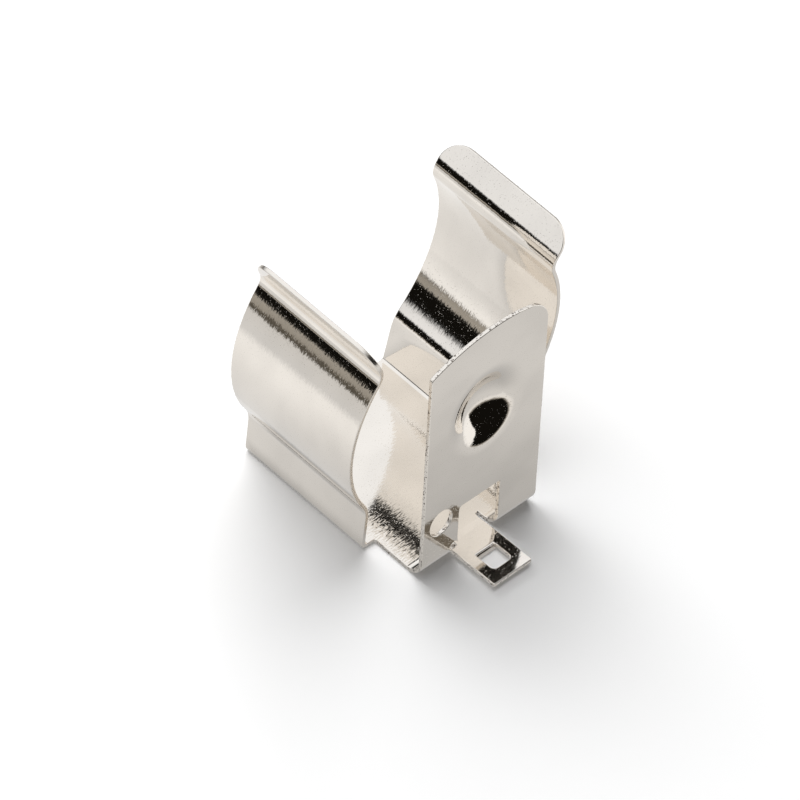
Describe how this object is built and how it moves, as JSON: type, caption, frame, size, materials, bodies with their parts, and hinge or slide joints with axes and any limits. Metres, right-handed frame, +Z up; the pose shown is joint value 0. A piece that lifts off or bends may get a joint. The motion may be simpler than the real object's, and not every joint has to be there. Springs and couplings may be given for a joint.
{
  "type": "battery clip",
  "caption": "Folded sheet-metal clip that holds a round cell between two spring arms and touches its end with a pressed contact plate and a solder lug.",
  "frame": {"origin": "middle of the base's underside, between the two spring arms", "axes": "+X across the cell towards the right arm, +Y along the cell away from the end plate, +Z up out of the base"},
  "size_m": [0.0276, 0.0274, 0.0294],
  "materials": {
    "nickel": "bright nickel plate on spring steel"
  },
  "bodies": {
    "root": {"battery_clip": "nickel"}
  },
  "joints": []
}
